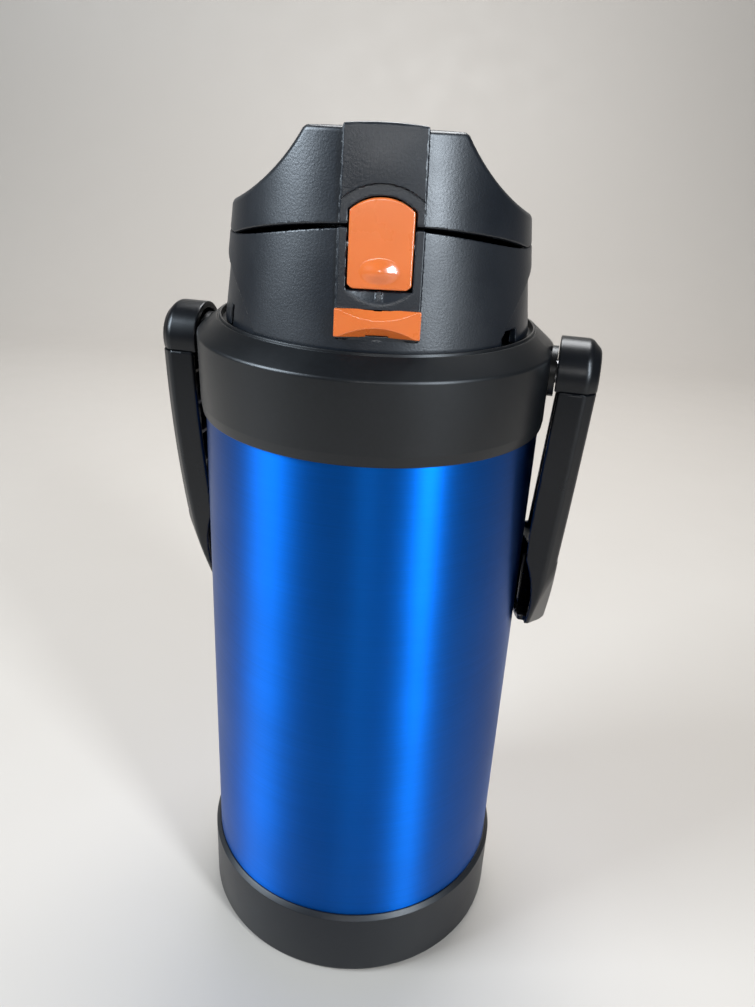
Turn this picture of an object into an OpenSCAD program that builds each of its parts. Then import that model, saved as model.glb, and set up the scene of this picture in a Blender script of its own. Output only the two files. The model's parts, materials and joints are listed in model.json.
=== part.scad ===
// Large vacuum-insulated water jug with a screw cap, a flip lid with a
// push-button latch, a lock slide and a swinging carry handle.
// Millimetres. +Z up, origin at the centre of the face it stands on,
// the lid's button faces -Y and the lid hinge is at +Y.

/* [Vessel] */
// Outer radius of the steel body
body_r = 59; // [52:0.5:66]
// Height where the straight steel wall turns in to the shoulder
body_top = 222; // [160:1:260]
// Height of the underside of the outer steel shell
body_bottom = 12; // [10:0.5:14]
// Wall of the outer steel shell
outer_wall = 0.8; // [0.5:0.1:1.2]
// Wall of the inner steel flask
inner_wall = 0.6; // [0.4:0.1:0.8]
// Width of the vacuum between the two steel walls
vacuum_gap = 3.2; // [2.5:0.1:4]
// Radius of the flask's mouth
mouth_r = 40.4; // [39:0.1:41]

/* [Base] */
// Outer radius of the plastic boot under the body
boot_r = 61; // [60.5:0.1:64]
// Height of the boot
boot_h = 31; // [22:1:45]

/* [Collar] */
// Largest radius of the shoulder collar
collar_r = 61.2; // [60.8:0.1:62]
// Height of the collar's lower edge
collar_z = 219.5; // [200:0.5:221]
// Height of the edge between the collar's side and its sloping top
collar_edge_z = 246.2; // [244:0.1:248]
// Distance from the jug's axis to the flats that the handle turns on
flat_x = 60.3; // [59.8:0.1:60.6]

/* [Handle] */
// Angle of the handle's pivot axis from the lid's hinge axis
handle_turn = 12; // [0:1:20]
// Height of the handle's pivot axis
pivot_z = 239; // [237:0.5:240]
// Radius of the round ends of the handle
hub_r = 12; // [11:0.1:12.2]
// Distance from the jug's axis to the handle's outer face at the pivot
handle_x = 76.5; // [76:0.1:78]
// Angle by which the handle's arms lean in towards the body
arm_lean = 3.2; // [3:0.1:3.4]
// Wall of the handle's channel section
handle_wall = 2.2; // [1.8:0.1:3]
// Height of the lower edge of the handle's bow
bow_low = 133; // [130:0.5:136]
// Height of the upper edge of the handle's bow
bow_high = 159; // [156:0.5:161]

/* [Cap] */
// Height of the lower edge of the cap's skirt
cap_z = 250.6; // [250.2:0.1:251]
// Radius of the cap at the height of the collar's lip
cap_r = 52.2; // [51.5:0.1:52.4]
// Height of the top of the lid's flat ridge
ridge_z = 310.8; // [306:0.2:312]
// Angle between the cap's side and the vertical
cap_lean = 6.6; // [5:0.1:8]
// Lead of the screw thread
thread_lead = 6; // [5:0.5:8]
// Radius of the drinking spout's bore
spout_bore_r = 11; // [9:0.5:12]
// Distance of the spout in front of the jug's axis
spout_y = -10; // [-12:0.5:-8]

/* [Latch] */
// Half of the width of the orange button
button_half = 9.1; // [8:0.1:10]
// Half of the width of the latch column and of the lid's raised band
band_half = 11.8; // [11:0.1:12.4]
// Travel of the lock slide
lock_travel = 4.5; // [3:0.5:4.5]

/* [Hidden] */
$fn = 120;
eps = 0.01;
fit = 0.05;
rim_z = 248;

black = [0.10, 0.10, 0.11];
steel = [0.72, 0.73, 0.75];
blue = [0.02, 0.25, 0.85];
orange = [0.95, 0.42, 0.12];
rubber = [0.82, 0.83, 0.84];

// Vessel radii, from the outside in
shell_in = body_r - outer_wall;
flask_r = shell_in - vacuum_gap;
neck_r = mouth_r + inner_wall + 2.5;
flask_z = 20;
shoulder_z = 238;

// Cap: radius of the leaning side at height z
side_z = 253;
function side_r(z) = cap_r - (z - side_z) * tan(cap_lean);
cap_wall = 2.4;
deck_z = 262;
deck_t = 2.4;
spout_top = 288;
spout_wall = 2.5;
plug_r = 36.6;
plug_z = 232;
plug_wall = 2.2;
duct_r = spout_bore_r + 3.5;
flange_z = 251;

// The cap's upper edge is level at the back and curves up at the front;
// the lid's lower edge is level at the back and slopes up at the front
split_z = 278.6;
split_gap = 0.5;
curve_y = -11;
curve_r = 100;
slope_y = -18.4;
front_y = -56;
lid_slope = 0.255;

// Lid hinge
hinge_y = 52.4;
hinge_z = 279.2;
hinge_pin_r = 1.5;
knuckle_r = 3.4;
hinge_half = 18;
spring_x = [-11.4, -4.6];
spring_wire = 0.8;

// Side scoops of the lid
scoop_x = 72.2;
scoop_z = 340.1;
scoop_r = 57.8;

// Finger recesses of the cap
grip_z = 230.5;
grip_r = 42.2;
grip_depth = 1.1;

// Latch column: its own frame leans with the cap's side, z = 0 at this height
latch_z = 270;
column_low = -14.6;
column_front = 0.2;
band_proud = 0.8;
crown_z = 312.4;
crown_r = 112;
button_low = -0.5;
button_top = 23.9;
button_arch_r = 13.4;
button_front = 0.1;
button_back = 2.6;
gap = 0.4;
arch_top = 27.3;
arch_r = 17.7;
pin_y = 4.6;
pin_z = 11.5;
button_pin_r = 1.2;
lock_low = -13.8;
lock_high = -5.9;
lock_t = 2.4;
lock_crest = 1.1;
grip_scoop_r = 33.6;
hollow_r = 31;
tongue_z = lock_low + 0.8;
tongue_h = 1.8;

// Thread
ridge_h = 2.4;
ridge_t = 2;
thread_step = 10;

module revolve(points) {
  rotate_extrude() polygon(points);
}

// One helical ridge: radius of its root and its crest, start height, number of turns
module helix_ridge(root, crest, z0, turns) {
  steps = round(turns * 360 / thread_step);
  up = crest > root ? ridge_t / 2 : -ridge_t / 2;
  points = [for (i = [0:steps]) let (a = i * thread_step, z = z0 + thread_lead * a / 360)
    for (p = [[root, -up], [crest, -up / 2], [crest, up / 2], [root, up]])
      [p[0] * cos(a), p[0] * sin(a), z + p[1]]];
  sides = [for (i = [0:steps - 1]) for (k = [0:3])
    [4 * i + k, 4 * i + (k + 1) % 4, 4 * i + 4 + (k + 1) % 4, 4 * i + 4 + k]];
  polyhedron(points, concat([[3, 2, 1, 0]], sides, [[for (k = [0:3]) 4 * steps + k]]), convexity = 6);
}

// A coil spring along +Z: wire radius, coil radius, pitch and number of turns
module coil(wire_r, coil_r, pitch, turns) {
  ring = 8;
  per_turn = 16;
  steps = per_turn * turns;
  points = [for (i = [0:steps]) let (a = 360 * i / per_turn, z = pitch * i / per_turn)
    for (k = [0:ring - 1]) let (b = 360 * k / ring, r = coil_r + wire_r * cos(b))
      [r * cos(a), r * sin(a), z + wire_r * sin(b)]];
  sides = [for (i = [0:steps - 1]) for (k = [0:ring - 1])
    [ring * i + k, ring * (i + 1) + k, ring * (i + 1) + (k + 1) % ring, ring * i + (k + 1) % ring]];
  polyhedron(points, concat([[for (k = [0:ring - 1]) k]], sides,
    [[for (k = [ring - 1:-1:0]) ring * steps + k]]), convexity = 8);
}

// ---- Vessel ----

module outer_shell() {
  w = outer_wall;
  color(blue) revolve([
    [body_r, body_bottom], [body_r, body_top], [body_r - 2, body_top + 6], [body_r - 7, body_top + 11],
    [neck_r + 2.5, shoulder_z - 1.5], [neck_r, shoulder_z + 2], [neck_r, rim_z - inner_wall],
    [neck_r - w, rim_z - inner_wall], [neck_r - w, shoulder_z + 1.7], [neck_r + 2, shoulder_z - 2.3],
    [body_r - 7.4, body_top + 10.2], [shell_in - 1.9, body_top + 5.6], [shell_in, body_top - 0.2],
    [shell_in, body_bottom],
  ]);
}

module bottom_pan() {
  w = outer_wall;
  z = body_bottom;
  color(steel) revolve([
    [shell_in, z], [shell_in, z + 4], [shell_in - w, z + 4], [shell_in - w, z + w], [10, z + w],
    [10 - w, z + 3 + w], [3, z + 3 + w], [3, z + 3], [9.5 - w, z + 3], [9.5, z],
  ]);
}

module vacuum_plug() {
  z = body_bottom + 3;
  color(steel) revolve([[0, z - 0.8], [7.5, z - 0.8], [7.5, z], [2.9, z], [2.9, z + 1.2], [0, z + 1.2]]);
}

module inner_flask() {
  w = inner_wall;
  z = flask_z;
  top = body_top - 8;
  neck = shoulder_z - 8;
  color(steel) union() {
    revolve([
      [0, z], [flask_r - 8, z], [flask_r - 2, z + 2.5], [flask_r, z + 8], [flask_r, top],
      [flask_r - 3, top + 7], [mouth_r + 4, neck - 3], [mouth_r + w, neck + 1], [mouth_r + w, rim_z - w],
      [neck_r, rim_z - w], [neck_r, rim_z], [mouth_r, rim_z], [mouth_r, neck + 0.8],
      [mouth_r + 3.6, neck - 3.5], [flask_r - 3.5, top + 6.7], [flask_r - w, top - 0.2],
      [flask_r - w, z + 8.2], [flask_r - 2.4, z + 3], [flask_r - 8.2, z + w], [0, z + w],
    ]);
    helix_ridge(mouth_r + w / 2, mouth_r - ridge_h, plug_z + 4 + thread_lead / 2, 1.25);
  }
}

module getter() {
  color(steel) translate([22, 0, flask_z - 2.5]) cylinder(r = 5, h = 2.5);
}

module reflective_foil() {
  color([0.85, 0.5, 0.3]) difference() {
    translate([0, 0, flask_z + 10]) cylinder(r = flask_r + 0.6, h = body_top - flask_z - 20);
    translate([0, 0, flask_z + 9]) cylinder(r = flask_r + 0.4, h = body_top - flask_z);
  }
}

module base_boot() {
  in = body_r + fit;
  color(black) revolve([
    [0, 1.5], [44, 1.5], [46, 0], [boot_r - 2.8, 0], [boot_r - 0.9, 0.8], [boot_r, 2.8],
    [boot_r, boot_h - 2], [boot_r - 0.4, boot_h - 0.9], [in + 0.35, boot_h], [in, boot_h],
    [in, body_bottom], [in - 4, body_bottom], [in - 4, 4], [0, 4],
  ]);
}

// ---- Collar and pivots, in the handle's frame ----

module handle_frame() {
  rotate([0, 0, -handle_turn]) children();
}

module on_both_sides() {
  for (s = [0, 180]) rotate([0, 0, s]) children();
}

module collar() {
  e = collar_edge_z;
  lip = cap_r + 0.7;
  color(black) handle_frame() difference() {
    revolve([
      [body_r + 0.2, collar_z], [body_r + 0.5, collar_z], [body_r + 1.1, collar_z + 0.9],
      [body_r + 1.6, collar_z + 2.5], [body_r + 1.75, collar_z + 4.5],
      [collar_r, e - 1.8], [collar_r - 0.2, e - 0.7], [collar_r - 0.9, e + 0.3],
      [lip + 1.5, e + 5.4], [lip + 1.2, e + 5.1], [lip + 0.9, e + 5.1], [lip + 0.7, e + 6],
      [lip, e + 6], [lip, rim_z + 1.6], [neck_r + 0.5, rim_z + 1.6], [neck_r + 0.5, rim_z - 0.05],
      [neck_r + 0.2, rim_z - 0.05], [neck_r + 0.2, shoulder_z + 2.2], [neck_r + 2.8, shoulder_z - 0.9],
      [body_r - 6.6, body_top + 11.6], [body_r - 1.5, body_top + 6.4], [body_r + 0.2, body_top],
    ]);
    on_both_sides() {
      translate([flat_x, -20, collar_z - 1]) cube([5, 40, e - collar_z + 10]);
      translate([flat_x - 9, 0, pivot_z]) rotate([0, 90, 0]) cylinder(r = 4, h = 12);
    }
  }
}

module collar_gasket() {
  color(rubber) difference() {
    translate([0, 0, rim_z]) cylinder(r = neck_r + 0.5, h = 1.4);
    translate([0, 0, rim_z - 1]) cylinder(r = neck_r - 0.3, h = 4);
  }
}

module pivot_pins() {
  color(steel) handle_frame() on_both_sides() translate([flat_x - 9, 0, pivot_z])
    rotate([0, 90, 0]) union() {
      cylinder(r = 4, h = 17.4);
      translate([0, 0, 17.4]) cylinder(r1 = 4, r2 = 3.4, h = 0.6);
    }
}

module pivot_washers() {
  color(black) handle_frame() on_both_sides() translate([flat_x, 0, pivot_z])
    rotate([0, 90, 0]) difference() {
      cylinder(r = 8.5, h = 2);
      translate([0, 0, -1]) cylinder(r = 4 + fit, h = 3);
    }
}

// ---- Handle ----

bow_in = body_r + 2.6;
bow_out = 73.8;
blend_z = 168;
blend_out = 72.4;
top_out = 79;
arm_in = 64;
hub_in = 62.6;
seam_z = pivot_z - 4;
web_x = handle_x - 5.9;
chamfer = 3.55;
tip_low = 138.5;
tip_slope = 14;
arc_r = 278;
arc_y = 265.8;
arc_z = 224.3;
tip = [66.3, 0.7, 139.5];
rib_t = 1.6;
relief_x = 64.8;
relief_z = 149;
relief_r = 60;

// The frame of one arm, which leans in about the pivot's outer end
module arm_frame() {
  translate([handle_x, 0, pivot_z]) rotate([0, arm_lean, 0]) translate([-handle_x, 0, -pivot_z]) children();
}

module both_arms() {
  for (s = [0, 1]) mirror([s, 0, 0]) children();
}

// The arm and the bow seen from the side, in Y and Z, shrunk by d; the front edge is cut later
module side_outline(d) {
  offset(delta = -d) polygon([
    [-30, tip_low], [0, tip_low], [tip_slope, bow_low], [90, bow_low], [90, bow_high], [46, bow_high],
    [38, bow_high + 3], [32, bow_high + 10], [hub_r, pivot_z], [-30, pivot_z],
  ]);
}

// The disc whose rim is the arm's curved front edge, bevelled on the outside
module front_disc(d) {
  turn = 0.414 * d;
  past = 6;
  translate([0, arc_y, arc_z]) rotate([0, 90, 0]) rotate_extrude($fn = 360) polygon([
    [0, -20], [arc_r - d, -20], [arc_r - d, handle_x - chamfer - turn],
    [arc_r - chamfer - past - turn - d, handle_x + past], [0, handle_x + past],
  ]);
}

// The slanted cut over the outer lower corner of each arm
module tip_cut(d) {
  both_arms() translate(tip) rotate([0, 107.1, -26]) translate([-60, -60, -0.8 - d]) cube([120, 120, 60]);
}

// The two leaning arms, and the round bow that joins them, shrunk by d
module arms_and_bow(d, e) {
  intersection() {
    both_arms() arm_frame() translate([arm_in - e, -30, bow_low - 20])
      cube([handle_x - d - arm_in + e, 120, pivot_z - bow_low + 30]);
    translate([0, 0, bow_low - 1]) cylinder(r1 = bow_out - d, r2 = top_out - d, h = pivot_z - bow_low + 9);
  }
  translate([0, 0, bow_low]) cylinder(r1 = bow_out - d, r2 = blend_out - d, h = blend_z - bow_low - d);
}

// The handle's outer form shrunk by d, with its inner faces moved in by e
module handle_solid(d, e) {
  difference() {
    intersection() {
      translate([-90, 0, 0]) rotate([90, 0, 90]) linear_extrude(height = 180) side_outline(d);
      both_arms() arm_frame() front_disc(d);
      arms_and_bow(d, e);
    }
    translate([0, 0, bow_low - 5]) cylinder(r = bow_in - e, h = 120);
    tip_cut(d);
  }
}

// The web, ribs and bearing boss inside each round end
module handle_hub() {
  r = hub_r - handle_wall - 0.15;
  difference() {
    union() {
      translate([web_x, 0, pivot_z]) rotate([0, 90, 0]) cylinder(r = r, h = 2);
      translate([web_x, -r, seam_z - 8]) cube([3.8, 2 * r, 8]);
      translate([hub_in + 0.3, 0, pivot_z]) rotate([0, 90, 0]) cylinder(r = 7, h = web_x - hub_in);
      for (a = [22.5:45:360]) translate([hub_in + 2.5, 0, pivot_z]) rotate([a, 0, 0])
        translate([0, 6, -0.6]) cube([web_x - hub_in - 2, r - 6.1, 1.2]);
    }
    translate([flat_x - 1, 0, pivot_z]) rotate([0, 90, 0]) cylinder(r = 4 + fit, h = 10.6);
  }
}

module handle_bow() {
  w = handle_wall;
  color(black) handle_frame() union() {
    difference() {
      handle_solid(0, 0);
      handle_solid(w, 6);
      translate([-90, -40, seam_z]) cube([180, 80, 40]);
      // relief in the inner edge of the front wall
      for (s = [-1, 1]) translate([s * (relief_x - relief_r), 8, relief_z]) rotate([90, 0, 0])
        cylinder(r = relief_r, h = 30);
    }
    // ribs across the channel
    intersection() {
      handle_solid(w - 0.3, -1.5);
      union() {
        for (a = [18:12:162]) rotate([0, 0, a])
          translate([bow_in, -rib_t / 2, bow_low]) cube([20, rib_t, bow_high - bow_low]);
        for (z = [165:12:225]) translate([-90, -20, z]) cube([180, 60, rib_t]);
      }
    }
    both_arms() handle_hub();
  }
}

// The round cover over one end of the handle, split from the bow at the seam
module handle_cap(side) {
  w = handle_wall;
  depth = handle_x - hub_in;
  color(black) handle_frame() mirror([side, 0, 0]) difference() {
    translate([hub_in, 0, pivot_z]) rotate([0, 90, 0]) difference() {
      union() {
        cylinder(r = hub_r, h = depth - chamfer);
        translate([0, 0, depth - chamfer]) cylinder(r1 = hub_r, r2 = hub_r - chamfer, h = chamfer);
      }
      translate([0, 0, -1]) cylinder(r = hub_r - w, h = depth + 1 - chamfer);
      translate([0, 0, -1]) cylinder(r = hub_r - w - 2, h = depth + 1 - w);
    }
    translate([50, -20, seam_z - 30]) cube([40, 40, 30]);
  }
}

module handle_cap_left() {
  handle_cap(1);
}

module handle_cap_right() {
  handle_cap(0);
}

// ---- Cap ----

// Everything in the cap's leaning outline, shrunk by d, from z0 to z1
module cap_cone(d, z0, z1) {
  translate([0, 0, z0]) cylinder(r1 = side_r(z0) - d, r2 = side_r(z1) - d, h = z1 - z0);
}

// Space below the cap's curved upper edge
module below_split() {
  difference() {
    translate([-70, -70, 200]) cube([140, 140, 140]);
    translate([-71, curve_y, split_z]) cube([142, 90, 100]);
    translate([-71, curve_y, split_z + curve_r]) rotate([0, 90, 0]) cylinder(r = curve_r, h = 142, $fn = 360);
  }
}

// Space above the lid's lower edge
module above_split() {
  z = split_z + split_gap;
  translate([-70, 0, 0]) rotate([90, 0, 90]) linear_extrude(height = 140)
    polygon([[70, z], [slope_y, z], [front_y, z + (slope_y - front_y) * lid_slope],
      [front_y, 340], [70, 340]]);
}

module latch_frame() {
  translate([0, -side_r(latch_z), latch_z]) rotate([-cap_lean, 0, 0]) children();
}

module spout_at(z) {
  translate([0, spout_y, z]) children();
}

module cap_gasket() {
  color(rubber) difference() {
    translate([0, 0, rim_z + 0.05]) cylinder(r = mouth_r + 2.4, h = flange_z - rim_z - 0.1);
    translate([0, 0, rim_z - 1]) cylinder(r = plug_r + 0.4, h = 6);
  }
}

// The upright block that carries the button and the lock slide, and the space in front of it
module column_block() {
  translate([-band_half - 0.3, column_front, column_low])
    cube([2 * band_half + 0.6, 6.6 - column_front, 40]);
}

module column_space() {
  translate([-band_half - 0.3, column_front - 8, column_low]) cube([2 * band_half + 0.6, 8, 40]);
}

module finger_recess() {
  intersection() {
    translate([20, 0, grip_z]) rotate([0, 90, 0]) cylinder(r = grip_r, h = 40);
    difference() {
      translate([0, 0, cap_z - 2]) cylinder(r = 60, h = 30);
      cap_cone(grip_depth, cap_z - 3, 300);
    }
  }
}

module cap_wall_ring() {
  difference() {
    union() {
      cap_cone(0, side_z, 300);
      translate([0, 0, cap_z]) cylinder(r = cap_r, h = side_z - cap_z);
    }
    cap_cone(cap_wall, deck_z + deck_t, 301);
    translate([0, 0, cap_z - 1]) cylinder(r = side_r(deck_z) - cap_wall, h = deck_z - cap_z + 1);
    finger_recess();
    mirror([1, 0, 0]) finger_recess();
    latch_frame() column_space();
  }
}

module hinge_at(x) {
  translate([x, hinge_y, hinge_z]) rotate([0, 90, 0]) children();
}

module cap_knuckle(x) {
  hinge_at(x) cylinder(r = knuckle_r, h = 6);
  translate([x, hinge_y - 5, hinge_z - 9]) cube([6, 5, 9 - 0.6]);
}

module cap_shell() {
  color(black) difference() {
    union() {
      intersection() {
        union() {
          cap_wall_ring();
          latch_frame() column_block();
        }
        below_split();
        translate([0, 0, cap_z]) cylinder(r = 60, h = 60);
      }
      cap_knuckle(-hinge_half);
      cap_knuckle(hinge_half - 6);
    }
    hinge_at(-30) cylinder(r = hinge_pin_r, h = 60);
    // room for the lid's knuckle and its spring
    hinge_at(6 - hinge_half) cylinder(r = knuckle_r + 0.5, h = 2 * hinge_half - 12);
    // spout hole in the deck
    spout_at(deck_z - 1) cylinder(r = 16, h = 5);
    latch_frame() {
      // window for the button, open at the top
      translate([-button_half - gap, -5, button_low - gap]) cube([2 * (button_half + gap), 13, 40]);
      // slot for the lock slide's tongue, and room for its clip
      translate([-4.4, -3, tongue_z - 0.4]) cube([8.8, 12, tongue_h + 0.8 + lock_travel]);
      translate([-6.4, 6.6, tongue_z - 0.4]) cube([12.8, 2, tongue_h + 0.8 + lock_travel]);
      thumb_hollow();
      button_pin_bore();
    }
    // notches in the skirt, a wide one on the right and a narrow one on the left
    rotate([0, 0, -36]) translate([45, -4.5, cap_z - 1]) cube([12, 9, 5.9]);
    rotate([0, 0, -155]) translate([45, -1.1, cap_z - 1]) cube([12, 2.2, 7.9]);
  }
}

// The shallow hollow for the thumb under the button, with a small rib in its middle
module thumb_hollow() {
  difference() {
    intersection() {
      translate([0, column_front + 3 - hollow_r, 8.8]) sphere(r = hollow_r);
      translate([-button_half - 0.2, -5, -8]) cube([2 * button_half + 0.4, 12, 12]);
    }
    translate([-0.5, column_front + 0.5, -8]) cube([1, 12, 12]);
  }
}

module button_pin_bore() {
  translate([-band_half, pin_y, pin_z]) rotate([0, 90, 0]) cylinder(r = button_pin_r, h = 2 * band_half);
}

module cap_plug() {
  color(black) union() {
    difference() {
      union() {
        translate([0, 0, plug_z]) cylinder(r = plug_r, h = deck_z - plug_z);
        translate([0, 0, flange_z]) cylinder(r = mouth_r + 2.6, h = 3);
      }
      translate([0, 0, plug_z + plug_wall]) cylinder(r = plug_r - plug_wall, h = 40);
      spout_at(plug_z - 1) cylinder(r = duct_r + fit, h = 40);
    }
    helix_ridge(plug_r - 0.8, plug_r + ridge_h, plug_z + 4, 1);
  }
}

// The tube through the plug that the drink runs out by
module plug_duct() {
  color(black) spout_at(plug_z) difference() {
    cylinder(r = duct_r, h = deck_z - plug_z);
    translate([0, 0, -1]) cylinder(r = spout_bore_r + 1, h = 40);
  }
}

module plug_foam() {
  r = plug_r - plug_wall - 0.05;
  z = plug_z + plug_wall + 0.05;
  color(rubber) difference() {
    translate([0, 0, z]) cylinder(r = r, h = deck_z - 0.05 - z);
    spout_at(z - 1) cylinder(r = duct_r + fit, h = 40);
  }
}

module spout() {
  r = spout_bore_r;
  color(black) spout_at(0) revolve([
    [r, deck_z + deck_t], [r + 8, deck_z + deck_t], [r + 8, deck_z + deck_t + 1.6],
    [r + spout_wall + 1.5, deck_z + deck_t + 2.2], [r + spout_wall, deck_z + deck_t + 5],
    [r + spout_wall, spout_top - 3], [r + spout_wall + 0.8, spout_top - 2],
    [r + spout_wall + 0.6, spout_top - 0.6], [r + spout_wall - 0.4, spout_top],
    [r + 0.8, spout_top], [r, spout_top - 1],
  ]);
}

module spout_seal() {
  color(rubber) spout_at(deck_z) difference() {
    cylinder(r = 16, h = deck_t);
    translate([0, 0, -1]) cylinder(r = spout_bore_r, h = 5);
  }
}

module hinge_pin() {
  color(steel) hinge_at(-hinge_half) cylinder(r = hinge_pin_r, h = 2 * hinge_half);
}

module lid_spring() {
  turns = 6;
  pitch = (spring_x[1] - spring_x[0] - spring_wire) / turns;
  color(steel) hinge_at(spring_x[0] + spring_wire / 2)
    coil(spring_wire / 2, hinge_pin_r + 0.9, pitch, turns);
}

module button_pin() {
  color(steel) latch_frame() translate([-band_half, pin_y, pin_z]) rotate([0, 90, 0])
    cylinder(r = button_pin_r, h = 2 * band_half);
}

// ---- Lid ----

module scoops(grow) {
  for (s = [-1, 1]) translate([s * scoop_x, -80, scoop_z]) rotate([-90, 0, 0])
    cylinder(r = scoop_r + grow, h = 160);
}

// A flat plate with an arched top, standing in the X-Z plane, from y0 to y1
module arch_plate(half, low, top, r, y0, y1) {
  intersection() {
    translate([-half, y0, low]) cube([2 * half, y1 - y0, top - low]);
    translate([0, y0, top - r]) rotate([-90, 0, 0]) cylinder(r = r, h = y1 - y0);
  }
}

module arch_opening(half, low, top, r, y0, y1) {
  arch_plate(half, top - r, top, r, y0, y1);
  translate([-half, y0, low]) cube([2 * half, y1 - y0, top - r - low]);
}

// The band that runs over the middle of the lid, flat at the front and crowned on top
module raised_band() {
  intersection() {
    latch_frame() translate([-band_half, column_front - band_proud, 0]) cube([2 * band_half, 110, 60]);
    translate([0, -80, crown_z - crown_r]) rotate([-90, 0, 0]) cylinder(r = crown_r, h = 126);
    translate([-20, -70, 270]) cube([40, 116, 60]);
    above_split();
  }
}

// The lid's knuckle and its arm
module lid_knuckle() {
  x = spring_x[1] + 0.4;
  w = hinge_half - 6.4 - x;
  hinge_at(x) cylinder(r = knuckle_r, h = w);
  translate([x, hinge_y - 5.5, hinge_z + 0.4]) cube([w, 5.5, 3]);
}

module lid_cover() {
  color(black) difference() {
    union() {
      difference() {
        intersection() {
          cap_cone(0, 270, ridge_z);
          above_split();
        }
        scoops(0);
      }
      raised_band();
      lid_knuckle();
    }
    // hollow
    difference() {
      cap_cone(cap_wall, 270, ridge_z - 2.4);
      scoops(cap_wall);
    }
    hinge_at(-30) cylinder(r = hinge_pin_r + fit, h = 60);
    hinge_at(-hinge_half - 0.5) cylinder(r = knuckle_r + 0.5, h = 6.9);
    hinge_at(hinge_half - 6.4) cylinder(r = knuckle_r + 0.5, h = 6.9);
    latch_frame() {
      // the frame round the button, lower than the band, and the window itself
      arch_opening(band_half + 2, 5, arch_top, arch_r, -8, column_front);
      arch_opening(button_half + gap, 5, button_top + gap, button_arch_r + gap, -8, 9);
    }
  }
}

module lid_liner() {
  z = 292.2;
  color(black) difference() {
    union() {
      intersection() {
        cap_cone(cap_wall + 0.3, z, z + 2);
        translate([-31, -38, z]) cube([62, 80, 2]);
      }
      spout_at(z + 2) cylinder(r = 9, h = ridge_z - 2.4 - z - 2);
    }
    scoops(cap_wall + 0.3);
    spout_at(z + 3) cylinder(r = 6.5, h = 30);
  }
}

module lid_seal() {
  r = spout_bore_r;
  color(rubber) spout_at(0) revolve([
    [0, spout_top - 2], [r - 1.3, spout_top - 2], [r - 0.7, spout_top + 0.1],
    [r + spout_wall + 1.6, spout_top + 0.1], [r + spout_wall + 2, spout_top + 1],
    [r + spout_wall + 2, 292.2], [0, 292.2],
  ]);
}

// ---- Button and lock slide ----

module button() {
  color(orange) latch_frame() difference() {
    union() {
      arch_opening(button_half, button_low, button_top, button_arch_r, button_front, button_back);
      // pivot lugs
      for (x = [-button_half, button_half - 3]) translate([x, button_back - 0.5, pin_z - 2.2])
        cube([3, pin_y + 2.2 - button_back + 0.5, 4.4]);
      // thumb bump
      intersection() {
        translate([0, button_front + 11.5, 4.4]) sphere(r = 12.8);
        translate([-7.4, button_front - 2, 0.4]) cube([14.8, 3, 8]);
      }
      // latch nose behind the top of the button
      translate([-5, button_back - 0.5, 19.6]) cube([10, 2, 1.8]);
    }
    translate([-20, pin_y, pin_z]) rotate([0, 90, 0]) cylinder(r = button_pin_r + fit, h = 40);
  }
}

module button_spring() {
  color(steel) latch_frame() translate([-4, pin_y, pin_z]) rotate([0, 90, 0])
    coil(0.2, button_pin_r + 0.4, 1, 8);
}

// A slanted round cut that bevels the slide's face above its crest
module lock_scoop() {
  translate([0, column_front - 0.1 - lock_t, lock_crest]) rotate([47, 0, 0]) translate([0, -20, grip_scoop_r])
    rotate([-90, 0, 0]) cylinder(r = grip_scoop_r, h = 40);
}

module lock_slide() {
  back = column_front - 0.1;
  half = band_half + 0.5;
  color(orange) latch_frame() difference() {
    union() {
      difference() {
        translate([-half, back - lock_t, lock_low]) cube([2 * half, lock_t, lock_high - lock_low]);
        translate([0, 0, (lock_low + lock_high) / 2]) {
          lock_scoop();
          mirror([0, 0, 1]) lock_scoop();
        }
      }
      // tongue through the slot, and the clip behind it
      translate([-4, back - 0.1, tongue_z]) cube([8, 7.1, tongue_h]);
      translate([-6, 6.8, tongue_z]) cube([12, 1.4, tongue_h]);
    }
    // small notch in the lower edge
    translate([-3.2, back - 5, lock_low - 1]) cube([6.4, 10, 1.6]);
  }
}

outer_shell();
bottom_pan();
vacuum_plug();
inner_flask();
getter();
reflective_foil();
base_boot();
collar();
collar_gasket();
pivot_pins();
pivot_washers();
handle_bow();
handle_cap_left();
handle_cap_right();
cap_gasket();
cap_shell();
cap_plug();
plug_duct();
plug_foam();
spout();
spout_seal();
hinge_pin();
lid_spring();
button_pin();
lid_cover();
lid_liner();
lid_seal();
button();
button_spring();
lock_slide();
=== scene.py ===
"""Looks of the large water jug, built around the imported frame.

Pieces whose edges are rounded or blended are written as distance fields in millimetres, negative
inside, and meshed on a grid. Round pieces are lathed. Everything rides on its CAD body.
"""
import json
import math

import bmesh
import bpy
import numpy as np
from mathutils import Matrix, Vector


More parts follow.
